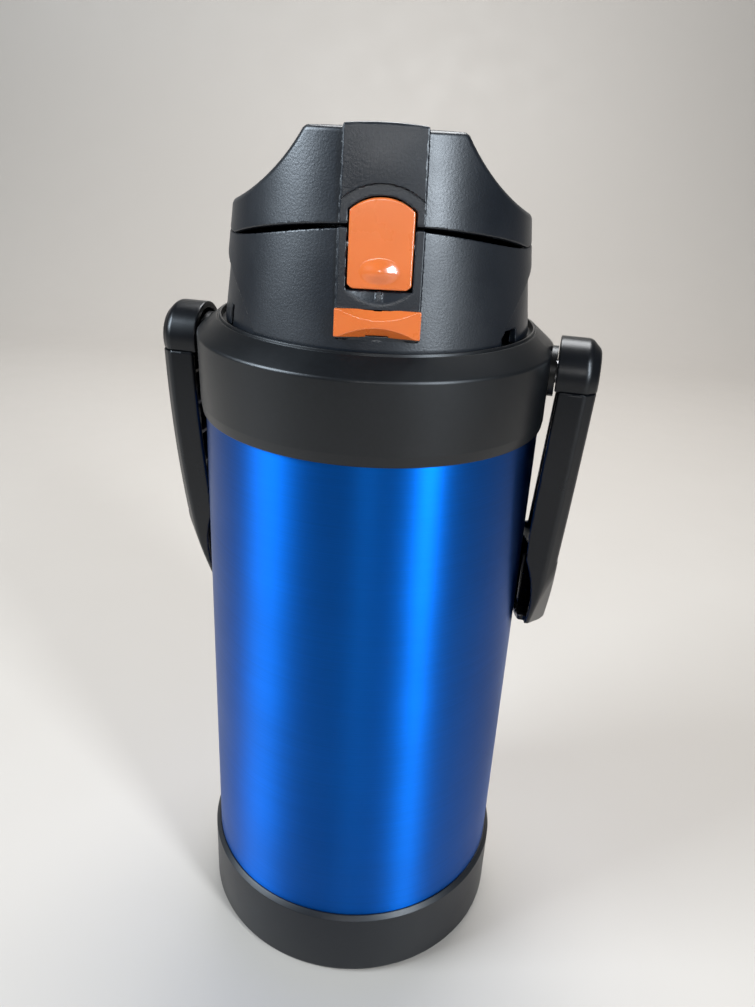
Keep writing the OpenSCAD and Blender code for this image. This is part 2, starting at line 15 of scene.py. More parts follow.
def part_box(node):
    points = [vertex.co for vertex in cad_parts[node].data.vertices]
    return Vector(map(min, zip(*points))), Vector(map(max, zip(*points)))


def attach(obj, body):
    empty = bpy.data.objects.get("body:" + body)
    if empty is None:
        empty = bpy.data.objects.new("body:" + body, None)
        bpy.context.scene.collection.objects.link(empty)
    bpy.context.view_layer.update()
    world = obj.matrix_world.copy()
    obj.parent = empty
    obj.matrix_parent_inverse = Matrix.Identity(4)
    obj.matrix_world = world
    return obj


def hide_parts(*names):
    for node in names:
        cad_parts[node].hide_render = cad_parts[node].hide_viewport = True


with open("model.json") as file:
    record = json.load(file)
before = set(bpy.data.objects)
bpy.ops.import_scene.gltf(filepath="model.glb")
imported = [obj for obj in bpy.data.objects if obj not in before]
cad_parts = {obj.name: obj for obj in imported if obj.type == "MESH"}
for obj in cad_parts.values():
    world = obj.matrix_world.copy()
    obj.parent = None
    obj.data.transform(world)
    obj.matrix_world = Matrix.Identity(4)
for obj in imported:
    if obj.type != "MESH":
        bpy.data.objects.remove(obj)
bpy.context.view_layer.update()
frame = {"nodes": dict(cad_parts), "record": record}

MM = 0.001

# ---- Sizes in millimetres, worked out from the frame ----


def extent(node):
    low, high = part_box(node)
    return [1000 * v for v in low], [1000 * v for v in high]


def top_of(node):
    return extent(node)[1][2]


def bottom_of(node):
    return extent(node)[0][2]


BODY_R = 59.0
BOOT_R = 61.0
BOOT_H = top_of("base_boot")
HANDLE_TURN = math.radians(12)
PIVOT_Z = 239.0
HUB_R = 12.0
HANDLE_X = 76.5
ARM_LEAN = math.radians(3.2)
HANDLE_WALL = 2.2
ARM_IN = 64.0
HUB_IN = 62.6
WEB_X = HANDLE_X - 5.9
BOW_IN = 61.6
BOW_OUT = 73.8
BLEND_Z = 168.0
BLEND_OUT = 72.4
TOP_OUT = 79.0
BOW_LOW = bottom_of("handle_bow")
BOW_HIGH = 159.0
TIP_LOW = 138.5
TIP_SLOPE = 14.0
SEAM_Z = 235.0
CHAMFER = 3.55
# Centre (y, z) and radius of the arm's curved front edge
FRONT_ARC = (265.8, 224.3, 278.0)
# Lower end (y, z) of the arm's straight rear edge
REAR_LOW = (33.5, 163.0)
INNER_CORNER_R = 11
# The slanted cut over the arm's outer lower corner
TIP = (66.3, 0.7, 139.5)
TIP_NORMAL = (0.859, -0.419, -0.294)
TIP_SHIFT = 0.8
# Centre (x, z) and radius of the cut that waists the arm's inner edge
RELIEF = (4.8, 149.0, 60.0)
RIB_T = 1.6
RIB_STEP = 12

CAP_LEAN = math.radians(6.6)
CAP_R = 52.2
CAP_WALL = 2.4
CAP_LOW = bottom_of("cap_shell")
SIDE_Z = 253.0
DECK_Z = 262.0
DECK_T = 2.4
SPLIT_Z = 278.6
SPLIT_GAP = 0.5
CURVE_Y = -11.0
CURVE_R = 100.0
SLOPE_Y = -18.4
LID_SLOPE = 0.255
RIDGE_Z = 310.8
# Centre (x, z) and radius of the lid's side scoops
SCOOP = (72.2, 340.1, 57.8)
# Centre height, radius, half width and depth of the finger recess in each side of the cap
FINGER = (230.5, 42.2, 20, 1.1)
# Angle in degrees, half width and height of the notches in the cap's skirt
SKIRT_NOTCHES = ((-36, 4.5, 4.9), (-155, 1.1, 6.9))
HINGE_Y = 52.4
HINGE_Z = 279.2
KNUCKLE_R = 3.4
HINGE_BORE_R = 1.5

BAND_HALF = 11.8
COLUMN_FRONT = 0.2
BAND_PROUD = 0.8
CROWN_Z = 312.4
CROWN_R = 112.0
LATCH_Z = 270.0
BUTTON_HALF = 9.1
BUTTON_LOW = -0.5
BUTTON_TOP = 23.9
BUTTON_ARCH = 13.4
ARCH_TOP = 27.3
ARCH_R = 17.7
GAP = 0.4
# Half width, half height, centre height and rise of the button's thumb bump
THUMB_BUMP = (5.9, 3.6, 4.3, 1.5)
PIN_Y = 4.6
PIN_Z = 11.5
COLUMN_LOW = -14.6
LOCK_LOW = -13.8
LOCK_HIGH = -5.9
TONGUE = (-13.0, -11.2)
LOCK_TRAVEL = 4.5
LOCK_T = 2.4
LOCK_CREST = 1.1
LOCK_SCOOP_R = 33.6
HOLLOW_R = 31.0

# ---- Distance fields ----


def both(a, b, r=0.0):
    """The space in a and in b, with the edge between them rounded to radius r."""
    if r == 0:
        return np.maximum(a, b)
    u = np.maximum(a + r, 0)
    v = np.maximum(b + r, 0)
    return np.minimum(-r, np.maximum(a, b)) + np.sqrt(u * u + v * v)


def join(a, b, r=0.0):
    """The space in a or b, with a fillet of radius r."""
    return -both(-a, -b, r)


def cut(a, b, r=0.0):
    """a without b, with the edge rounded to radius r."""
    return both(a, -b, r)


def slab(v, low, high):
    return np.maximum(low - v, v - high)


def block(x, y, z, low, high, r=0.0):
    d = both(slab(x, low[0], high[0]), slab(y, low[1], high[1]), r)
    return both(d, slab(z, low[2], high[2]), r)


def disc(u, v, cu, cv, r):
    return np.sqrt((u - cu) ** 2 + (v - cv) ** 2) - r


def side_r(z):
    return CAP_R - (z - SIDE_Z) * math.tan(CAP_LEAN)


def cone(x, y, z, inset=0.0):
    """Inside the cap's leaning side, shrunk by inset."""
    return (np.sqrt(x * x + y * y) - side_r(z) + inset) * math.cos(CAP_LEAN)


def latch_frame(y, z):
    """y and z measured along and across the leaning latch column."""
    dy = y + side_r(LATCH_Z)
    dz = z - LATCH_Z
    return (dy * math.cos(CAP_LEAN) - dz * math.sin(CAP_LEAN),
            dy * math.sin(CAP_LEAN) + dz * math.cos(CAP_LEAN))


def arch(x, z, half, low, top, r, corner=0.0):
    """An upright plate outline with an arched top."""
    sides = both(np.abs(x) - half, low - z, corner)
    return both(sides, disc(x, z, 0, top - r, r), corner)


def bump(t):
    """A smooth hill: 1 at t = 0, falling to 0 at t = 1 and beyond."""
    t = np.clip(np.abs(t), 0, 1)
    return (1 - t * t) ** 2


# ---- Grid mesher ----

CORNERS = np.array([[i & 1, (i >> 1) & 1, (i >> 2) & 1] for i in range(8)])
EDGES = [(a, a | bit) for a in range(8) for bit in (1, 2, 4) if not a & bit]


def slope_of(field, p, step=0.02):
    """The field's gradient at each point."""
    g = np.empty_like(p)
    for k in range(3):
        shift = np.zeros(3)
        shift[k] = step
        g[:, k] = (field(*(p + shift).T) - field(*(p - shift).T)) / (2 * step)
    return g


def unit(v):
    return v / np.maximum(np.linalg.norm(v, axis=1, keepdims=True), 1e-9)


def settle(field, p, most, rounds=4):
    """Moves points onto the field's surface, each by no more than most."""
    start = p.copy()
    for _ in range(rounds):
        g = slope_of(field, p)
        p = p - g * (field(*p.T) / np.maximum((g * g).sum(1), 0.2))[:, None]
        p = start + np.clip(p - start, -most, most)
    return p


def surface_of(field, low, high, cell):
    """Points and quads of the field's surface, one point to each grid cell that it crosses."""
    axes = [np.arange(a - cell, b + 2 * cell, cell) for a, b in zip(low, high)]
    shape = tuple(len(a) for a in axes)
    grid = field(axes[0][:, None, None], axes[1][None, :, None], axes[2][None, None, :])
    value = np.broadcast_to(grid, shape)
    inside = value < 0
    near = [tuple(slice(c, n - 1 + c) for c, n in zip(corner, shape)) for corner in CORNERS]
    count = sum(inside[s].astype(np.int8) for s in near)
    active = (count > 0) & (count < 8)
    cells = np.argwhere(active)
    index = np.full(active.shape, -1, np.int64)
    index[active] = np.arange(len(cells))

    corner = np.stack([value[s][active] for s in near], 1)
    total = np.zeros((len(cells), 3))
    hits = np.zeros(len(cells))
    for a, b in EDGES:
        crossing = (corner[:, a] < 0) != (corner[:, b] < 0)
        t = corner[:, a] / np.where(crossing, corner[:, a] - corner[:, b], 1)
        point = CORNERS[a] + t[:, None] * (CORNERS[b] - CORNERS[a])
        total += np.where(crossing[:, None], point, 0)
        hits += crossing
    points = np.array([a[0] for a in axes]) + cell * (cells + total / hits[:, None])
    points = settle(field, points, 0.6 * cell)

    quads = []
    for axis in range(3):
        a = (axis + 1) % 3
        b = (axis + 2) % 3
        first = np.take(inside, range(shape[axis] - 1), axis)
        second = np.take(inside, range(1, shape[axis]), axis)
        where = np.argwhere(first != second)
        low_side = (where[:, a] > 0) & (where[:, b] > 0)
        high_side = (where[:, a] < shape[a] - 1) & (where[:, b] < shape[b] - 1)
        where = where[low_side & high_side]
        outward = first[tuple(where.T)]
        ring = []
        for da, db in ((1, 1), (0, 1), (0, 0), (1, 0)):
            w = where.copy()
            w[:, a] -= da
            w[:, b] -= db
            ring.append(index[tuple(w.T)])
        ring = np.stack(ring, 1)
        quads.append(np.where(outward[:, None], ring, ring[:, ::-1]))
    return points, np.concatenate(quads)


def new_mesh(name, points, faces):
    """A mesh in metres from points in millimetres and faces of one size."""
    mesh = bpy.data.meshes.new(name)
    size = faces.shape[1]
    mesh.vertices.add(len(points))
    mesh.vertices.foreach_set("co", (points * MM).astype(np.float32).ravel())
    mesh.loops.add(faces.size)
    mesh.loops.foreach_set("vertex_index", faces.astype(np.int32).ravel())
    mesh.polygons.add(len(faces))
    mesh.polygons.foreach_set("loop_start", np.arange(0, faces.size, size, dtype=np.int32))
    mesh.update(calc_edges=True)
    mesh.validate()
    return mesh


def thin_out(obj, keep):
    """Drops the faces that flat and gently curved areas don't need."""
    modifier = obj.modifiers.new("thin", "DECIMATE")
    modifier.ratio = keep
    graph = bpy.context.evaluated_depsgraph_get()
    mesh = bpy.data.meshes.new_from_object(obj.evaluated_get(graph))
    obj.modifiers.clear()
    old = obj.data
    obj.data = mesh
    bpy.data.meshes.remove(old)
    mesh.name = obj.name


def field_normals(mesh, field):
    """Sets each face corner's normal from the field, with a crease where two faces differ by much."""
    n = len(mesh.loops)
    vertex = np.empty(n, np.int32)
    mesh.loops.foreach_get("vertex_index", vertex)
    co = np.empty(len(mesh.vertices) * 3, np.float32)
    mesh.vertices.foreach_get("co", co)
    co = co.reshape(-1, 3).astype(np.float64) / MM
    sides = np.empty(len(mesh.polygons), np.int32)
    mesh.polygons.foreach_get("loop_total", sides)
    face = np.repeat(np.arange(len(sides)), sides)
    normal = np.empty(len(sides) * 3, np.float32)
    mesh.polygons.foreach_get("normal", normal)
    centre = np.empty(len(sides) * 3, np.float32)
    mesh.polygons.foreach_get("center", centre)
    flat = normal.reshape(-1, 3)[face]
    smooth = unit(slope_of(field, co))[vertex]
    sharp = (smooth * flat).sum(1) < math.cos(math.radians(26))
    towards = centre.reshape(-1, 3)[face][sharp] / MM - co[vertex[sharp]]
    aside = co[vertex[sharp]] + 0.12 * unit(towards)
    local = unit(slope_of(field, aside))
    off = (local * flat[sharp]).sum(1) < math.cos(math.radians(40))
    local[off] = flat[sharp][off]
    smooth[sharp] = local
    mesh.normals_split_custom_set(smooth.astype(np.float32))


def carve(name, field, low, high, cell, keep=0.3, turn=0.0):
    """A piece from its distance field, turned about +Z into the jug's frame."""
    step = cell * 1
    points, quads = surface_of(field, low, high, step)
    mesh = new_mesh(name, points, quads)
    obj = bpy.data.objects.new(name, mesh)
    bpy.context.scene.collection.objects.link(obj)
    thin_out(obj, keep)
    for polygon in obj.data.polygons:
        polygon.use_smooth = True
    field_normals(obj.data, field)
    if turn:
        obj.data.transform(Matrix.Rotation(turn, 4, "Z"))
    return obj


# ---- Lathe ----


def rounded(corners, steps=8):
    """A profile from (r, z, radius) corners, with each corner rounded by an arc."""
    line = []
    for i, (r, z, radius) in enumerate(corners):
        here = np.array([r, z], float)
        if radius == 0 or i in (0, len(corners) - 1):
            line.append(here)
            continue
        before = np.array(corners[i - 1][:2], float) - here
        after = np.array(corners[i + 1][:2], float) - here
        u = before / np.linalg.norm(before)
        v = after / np.linalg.norm(after)
        half = math.acos(np.clip(np.dot(u, v), -1, 1)) / 2
        reach = min(radius / math.tan(half), 0.49 * np.linalg.norm(before), 0.49 * np.linalg.norm(after))
        true = reach * math.tan(half)
        middle = here + (u + v) / np.linalg.norm(u + v) * true / math.sin(half)
        start = here + u * reach - middle
        end = here + v * reach - middle
        a0 = math.atan2(start[1], start[0])
        a1 = math.atan2(end[1], end[0])
        sweep = (a1 - a0 + math.pi) % (2 * math.pi) - math.pi
        for k in range(steps + 1):
            a = a0 + sweep * k / steps
            line.append(middle + true * np.array([math.cos(a), math.sin(a)]))
    return np.array(line)


def lathe(name, profile, around=240):
    """A solid of revolution from a closed profile that runs from axis to axis or round a ring."""
    closed = profile[0][0] > 0.01
    count = len(profile)
    angle = np.linspace(0, 2 * math.pi, around, endpoint=False)
    ring = np.stack([np.outer(np.cos(angle), profile[:, 0]), np.outer(np.sin(angle), profile[:, 0]),
                     np.tile(profile[:, 1], (around, 1))], -1)
    points = ring.reshape(-1, 3)
    i = np.arange(around)[:, None] * count
    j = (np.arange(around)[:, None] + 1) % around * count
    k = np.arange(count if closed else count - 1)[None, :]
    n = (k + 1) % count
    faces = np.stack([i + k, j + k, j + n, i + n], -1).reshape(-1, 4)
    mesh = new_mesh(name, points, faces)
    edit = bmesh.new()
    edit.from_mesh(mesh)
    bmesh.ops.remove_doubles(edit, verts=edit.verts, dist=1e-7)
    bmesh.ops.recalc_face_normals(edit, faces=edit.faces)
    edit.to_mesh(mesh)
    edit.free()
    for polygon in mesh.polygons:
        polygon.use_smooth = True
    mesh.set_sharp_from_angle(angle=math.radians(35))
    obj = bpy.data.objects.new(name, mesh)
    bpy.context.scene.collection.objects.link(obj)
    return obj


# ---- Shapes of the cap and lid ----


def below_split(y, z):
    """Under the cap's curved upper edge."""
    curved = CURVE_R - np.sqrt((y - CURVE_Y) ** 2 + (z - SPLIT_Z - CURVE_R) ** 2)
    return np.where(y < CURVE_Y, curved, z - SPLIT_Z)


def above_split(y, z):
    """Over the lid's lower edge, which slopes up at the front."""
    level = SPLIT_Z + SPLIT_GAP
    tilt = math.hypot(1, LID_SLOPE)
    return both(level - z, (level + (SLOPE_Y - y) * LID_SLOPE - z) / tilt)


def knuckle(x, y, z, x0, x1, r=KNUCKLE_R, edge=0.5):
    return both(disc(y, z, HINGE_Y, HINGE_Z, r), slab(x, x0, x1), edge)


def finger_recess(x, y, z):
    height, radius, half, depth = FINGER
    d = disc(y, z, 0, height, radius)
    d = both(d, -cone(x, y, z, depth))
    return both(d, half - np.abs(x))


def cap_wall(x, y, z):
    """The cap's round wall with its deck, and the latch column in front."""
    yl, zl = latch_frame(y, z)
    radius = np.sqrt(x * x + y * y)
    half = BAND_HALF + 0.3
    ring = both(both(cone(x, y, z), radius - CAP_R), CAP_LOW - z, 0.5)
    ring = cut(ring, finger_recess(x, y, z), 0.5)
    front = both(both(yl - COLUMN_FRONT, np.abs(x) - half), COLUMN_LOW - zl)
    ring = cut(ring, front, 0.15)
    column = block(x, yl, zl, (-half, COLUMN_FRONT, COLUMN_LOW), (half, 6.6, 40), 0.45)
    above_deck = both(cone(x, y, z, CAP_WALL), DECK_Z + DECK_T - z, 1.0)
    below_deck = both(radius - side_r(DECK_Z) + CAP_WALL, z - DECK_Z, 0.6)
    d = join(cut(ring, np.minimum(above_deck, below_deck), 0.3), column, 0.15)
    return both(d, below_split(y, z), 0.4)


def cap_hinge(d, x, y, z):
    """Adds the cap's two hinge knuckles and clears the room for the lid's knuckle."""
    for x0 in (-18, 12):
        arm = block(x, y, z, (x0, HINGE_Y - 5, HINGE_Z - 9), (x0 + 6, HINGE_Y, HINGE_Z - 0.6), 0.4)
        d = join(d, join(knuckle(x, y, z, x0, x0 + 6), arm, 0.6), 0.5)
    d = cut(d, disc(y, z, HINGE_Y, HINGE_Z, HINGE_BORE_R))
    return cut(d, both(disc(y, z, HINGE_Y, HINGE_Z, KNUCKLE_R + 0.5), np.abs(x) - 12))


def thumb_hollow(x, yl, zl):
    """The hollow in the column under the button, with a thin rib in its middle."""
    d = np.sqrt(x * x + (yl - COLUMN_FRONT - 3 + HOLLOW_R) ** 2 + (zl - 8.8) ** 2) - HOLLOW_R
    d = both(d, both(np.abs(x) - BUTTON_HALF - 0.2, slab(zl, -8, 4)))
    return cut(d, both(np.abs(x) - 0.7, COLUMN_FRONT + 0.7 - yl), 0.6)


def cap_shell_field(x, y, z):
    yl, zl = latch_frame(y, z)
    d = cap_hinge(cap_wall(x, y, z), x, y, z)
    spout_hole = both(disc(x, y, 0, -10, 16), slab(z, DECK_Z - 1, DECK_Z + 5))
    d = cut(d, spout_hole)
    window_half = BUTTON_HALF + GAP
    window = block(x, yl, zl, (-window_half, -5, BUTTON_LOW - GAP), (window_half, 8, 40))
    d = cut(d, window, 0.25)
    slot = (TONGUE[0] - 0.4, TONGUE[1] + 0.4 + LOCK_TRAVEL)
    d = cut(d, block(x, yl, zl, (-4.4, -3, slot[0]), (4.4, 9, slot[1])), 0.2)
    d = cut(d, block(x, yl, zl, (-6.4, 6.6, slot[0]), (6.4, 8.6, slot[1])))
    d = cut(d, thumb_hollow(x, yl, zl), 0.3)
    d = cut(d, both(disc(yl, zl, PIN_Y, PIN_Z, 1.2), np.abs(x) - BAND_HALF))
    for angle, half, high in SKIRT_NOTCHES:
        c = math.cos(math.radians(angle))
        s = math.sin(math.radians(angle))
        u = x * c + y * s
        v = -x * s + y * c
        d = cut(d, block(u, v, z, (45, -half, CAP_LOW - 1), (57, half, CAP_LOW + high)), 0.3)
    return d


def band_front(x, zl):
    """How far the band's front stands out: a soft pillow that falls away towards the arch and the top."""
    return BAND_PROUD * (0.55 + 0.75 * bump((zl - 33) / 15) * bump(x / 16))


def lid_cover_field(x, y, z):
    yl, zl = latch_frame(y, z)
    dome = both(cone(x, y, z), z - RIDGE_Z, 1.3)
    dome = cut(dome, disc(np.abs(x), z, *SCOOP), 1.1)
    dome = both(dome, above_split(y, z), 0.4)
    half = BAND_HALF - 0.01 * (zl - 20)
    band = both(np.abs(x) - half, COLUMN_FRONT - band_front(x, zl) - yl, 0.4)
    band = both(band, disc(x, z, 0, CROWN_Z - CROWN_R, CROWN_R), 0.6)
    band = both(both(band, y - 46, 0.4), above_split(y, z), 0.4)
    d = join(dome, band, 0.12)
    hollow = both(cone(x, y, z, CAP_WALL), z - RIDGE_Z + 2.4, 0.8)
    scoop_x, scoop_z, scoop_r = SCOOP
    hollow = cut(hollow, disc(np.abs(x), z, scoop_x, scoop_z, scoop_r + CAP_WALL), 0.8)
    d = cut(d, hollow, 0.3)
    arm = block(x, y, z, (-4.2, HINGE_Y - 5.5, HINGE_Z + 0.4), (11.6, HINGE_Y, HINGE_Z + 3.4), 0.3)
    d = join(d, join(knuckle(x, y, z, -4.2, 11.6), arm, 0.5), 0.5)
    d = cut(d, disc(y, z, HINGE_Y, HINGE_Z, HINGE_BORE_R + 0.05))
    d = cut(d, both(disc(y, z, HINGE_Y, HINGE_Z, KNUCKLE_R + 0.5), slab(np.abs(x), 11.6, 18.5)))
    frame_cut = both(arch(x, zl, BAND_HALF + 2, 5, ARCH_TOP, ARCH_R), yl - COLUMN_FRONT)
    d = cut(d, frame_cut, 0.12)
    window = arch(x, zl, BUTTON_HALF + GAP, 5, BUTTON_TOP + GAP, BUTTON_ARCH + GAP)
    d = cut(d, both(window, slab(yl, -8, 9)), 0.25)
    return d


def button_field(x, y, z):
    yl, zl = latch_frame(y, z)
    plate = arch(x, zl, BUTTON_HALF, BUTTON_LOW, BUTTON_TOP, BUTTON_ARCH, 0.3)
    d = both(plate, slab(yl, 0.1, 2.6), 0.5)
    half_x, half_z, centre_z, rise = THUMB_BUMP
    oval = np.sqrt((x / half_x) ** 2 + ((zl - centre_z) / half_z) ** 2)
    d = d - rise * np.where(yl < 1.4, bump(oval / 1.05), 0)
    lug = block(np.abs(x), yl, zl, (6.1, 2.1, PIN_Z - 2.2), (9.1, 6.8, PIN_Z + 2.2), 0.6)
    nose = block(x, yl, zl, (-5, 2.1, 19.6), (5, 4.1, 21.4), 0.3)
    d = join(join(d, lug, 0.2), nose, 0.2)
    return cut(d, disc(yl, zl, PIN_Y, PIN_Z, 1.25))


def lock_field(x, y, z):
    yl, zl = latch_frame(y, z)
    back = COLUMN_FRONT - 0.1
    half = BAND_HALF + 0.5
    d = block(x, yl, zl, (-half, back - LOCK_T, LOCK_LOW), (half, back, LOCK_HIGH), 0.35)
    tilt = math.radians(47)
    dy = yl - back + LOCK_T
    for side in (1, -1):
        dz = side * (zl - (LOCK_LOW + LOCK_HIGH) / 2) - LOCK_CREST
        up = dz * math.cos(tilt) - dy * math.sin(tilt)
        d = cut(d, disc(x, up, 0, LOCK_SCOOP_R, LOCK_SCOOP_R), 0.12)
    d = cut(d, block(x, yl, zl, (-3.2, -5, LOCK_LOW - 1), (3.2, 5, LOCK_LOW + 0.6)), 0.2)
    stem = block(x, yl, zl, (-4, back - 0.1, TONGUE[0]), (4, 7.1, TONGUE[1]), 0.2)
    clip = block(x, yl, zl, (-6, 6.8, TONGUE[0]), (6, 8.2, TONGUE[1]), 0.3)
    return join(join(d, stem, 0.1), clip, 0.1)


# ---- Handle, in its own frame ----


def right_of(y, z, a, b):
    """Distance to the line from a up to b, negative on its +Y side."""
    dy = b[0] - a[0]
    dz = b[1] - a[1]
    size = math.hypot(dy, dz)
    return ((z - a[1]) * dy - (y - a[0]) * dz) / size


def arm_frame(px, z):
    """px and z measured across and along the leaning arm."""
    dx = px - HANDLE_X
    dz = z - PIVOT_Z
    return (HANDLE_X + dx * math.cos(ARM_LEAN) - dz * math.sin(ARM_LEAN),
            PIVOT_Z + dx * math.sin(ARM_LEAN) + dz * math.cos(ARM_LEAN))


def handle_form(x, y, z, d, e, r):
    """The handle's form shrunk by d, with its inner faces moved in by e and its edges rounded to r."""
    px = np.abs(x)
    xl, zl = arm_frame(px, z)
    radius = np.sqrt(x * x + y * y)
    reach = disc(y, zl, *FRONT_ARC)
    bevel = (reach + xl - HANDLE_X + CHAMFER) * math.sqrt(0.5)
    top = BOW_OUT + (z - BOW_LOW) * (TOP_OUT - BOW_OUT) / (PIVOT_Z - BOW_LOW)
    arms = both(xl - HANDLE_X, radius - top, r)
    wall = radius - BOW_OUT - (z - BOW_LOW) * (BLEND_OUT - BOW_OUT) / (BLEND_Z - BOW_LOW)
    leg = both(arms, ARM_IN - min(e, 0) - xl)
    mouth = both(both(arms, ARM_IN - e - xl), wall)
    outer = join(np.minimum(leg, mouth), both(wall, z - BLEND_Z), 1.0)
    rear = -right_of(y, z, REAR_LOW, (HUB_R - 0.7, SEAM_Z))
    side = join(both(rear, z - PIVOT_Z - 20), z - BOW_HIGH, INNER_CORNER_R)
    rise = TIP_LOW - BOW_LOW
    slope = ((TIP_LOW - z) * TIP_SLOPE - y * rise) / math.hypot(TIP_SLOPE, rise)
    side = both(both(side, BOW_LOW - z, r), slope, r) + d
    tip = sum((v - place) * normal for v, place, normal in zip((px, y, z), TIP, TIP_NORMAL)) + TIP_SHIFT
    shape = both(side, outer + d, r)
    shape = both(both(shape, reach + d, r), bevel + d, r)
    shape = both(shape, tip + d, r)
    return both(shape, BOW_IN - e - radius, r * 0.35)


def handle_ribs(x, y, z):
    """Thin walls across the hollow of the arms and the bow."""
    angle = np.arctan2(y, x)
    radius = np.sqrt(x * x + y * y)
    ribs = 1e3
    for a in np.radians(np.arange(18, 163, RIB_STEP)):
        rib = both(np.abs(angle - a) * radius - RIB_T / 2, slab(z, BOW_LOW, BOW_HIGH))
        ribs = np.minimum(ribs, rib)
    for level in range(165, 226, RIB_STEP):
        ribs = np.minimum(ribs, slab(z, level, level + RIB_T))
    return ribs


def handle_hub(px, y, z):
    """The web, the spokes and the bearing boss inside each round end."""
    r = HUB_R - HANDLE_WALL - 0.15
    round_r = np.sqrt(y * y + (z - PIVOT_Z) ** 2)
    web = both(round_r - r, slab(px, WEB_X, WEB_X + 2), 0.2)
    web = np.minimum(web, block(px, y, z, (WEB_X, -r, SEAM_Z - 8), (WEB_X + 3.8, r, SEAM_Z)))
    boss = both(round_r - 7, slab(px, HUB_IN + 0.3, WEB_X), 0.4)
    spoke = 1e3
    spin = np.arctan2(z - PIVOT_Z, y)
    for a in np.radians(np.arange(22.5, 360, 45)):
        turn = np.abs((spin - a + math.pi) % (2 * math.pi) - math.pi)
        spoke = np.minimum(spoke, both(turn * round_r - 0.6, both(6 - round_r, round_r - r)))
    spoke = both(spoke, slab(px, HUB_IN + 2.5, WEB_X))
    return join(join(web, boss, 0.5), spoke, 0.2)


def handle_bow_field(x, y, z):
    w = HANDLE_WALL
    px = np.abs(x)
    d = cut(handle_form(x, y, z, 0, 0, 0.8), handle_form(x, y, z, w, 6, 0.3), 0.3)
    d = both(d, z - SEAM_Z, 0.3)
    relief = both(disc(px, z, *RELIEF), y - 8)
    d = cut(d, relief, 0.4)
    d = join(d, both(handle_ribs(x, y, z), handle_form(x, y, z, w - 0.3, -1.5, 0)), 0.2)
    d = join(d, handle_hub(px, y, z), 0.2)
    round_r = np.sqrt(y * y + (z - PIVOT_Z) ** 2)
    return cut(d, both(round_r - 4.05, slab(px, 50, 69.9)), 0.2)


def handle_cap_field(x, y, z):
    w = HANDLE_WALL
    round_r = np.sqrt(y * y + (z - PIVOT_Z) ** 2)
    outer = both(round_r - HUB_R, x - HANDLE_X)
    slope = (round_r + x - HUB_R - HANDLE_X + CHAMFER) * math.sqrt(0.5)
    d = both(outer, slope, 0.9)
    d = both(d, HUB_IN - x, 0.4)
    pocket = np.minimum(both(round_r - HUB_R + w, x - HANDLE_X + CHAMFER),
                        both(round_r - HUB_R + w + 2, x - HANDLE_X + w))
    d = cut(d, pocket, 0.3)
    return both(d, SEAM_Z - z, 0.3)


# ---- Lathed pieces: radius, height and corner radius of each point ----

SHELL_PROFILE = (
    (BODY_R, 12, 0), (BODY_R, 222, 4), (BODY_R - 7, 233, 3), (46, 236.5, 3), (43.5, 240, 2),
    (43.5, 247.4, 0), (42.7, 247.4, 0), (42.7, 239.7, 2), (45.5, 235.7, 3), (BODY_R - 7.4, 232.2, 3),
    (BODY_R - 0.8, 221.8, 4), (BODY_R - 0.8, 12, 0),
)
BOOT_PROFILE = (
    (0, 1.5, 0), (44, 1.5, 0.5), (46, 0, 0.4), (BOOT_R - 2, 0, 1.2), (BOOT_R, 2.0, 2.2),
    (BOOT_R, BOOT_H - 1.7, 0.5), (BOOT_R - 1.5, BOOT_H, 0.4), (BODY_R + 0.05, BOOT_H, 0),
    (BODY_R + 0.05, 12, 0.3), (BODY_R - 4, 12, 0.5), (BODY_R - 4, 4, 0.5), (0, 4, 0),
)
COLLAR_PROFILE = (
    (59.2, 219.5, 0), (60.0, 219.5, 0.7), (60.6, 223.2, 4), (61.2, 246.0, 1.5), (54.5, 251.6, 0.5),
    (54.1, 251.3, 0.15), (53.75, 251.3, 0.15), (53.6, 252.2, 0.25), (52.9, 252.2, 0.25),
    (52.9, 249.7, 0.2), (43.8, 249.7, 0.1), (43.7, 240.2, 1), (46.3, 237.1, 2), (52.4, 233.6, 2),
    (57.5, 228.4, 3), (59.2, 222, 2),
)
FLAT_X = 60.3


def flatten_sides(obj):
    """Presses the collar's outside flat where the handle turns against it."""
    for vertex in obj.data.vertices:
        vertex.co.x = min(max(vertex.co.x, -FLAT_X * MM), FLAT_X * MM)


# ---- Materials ----


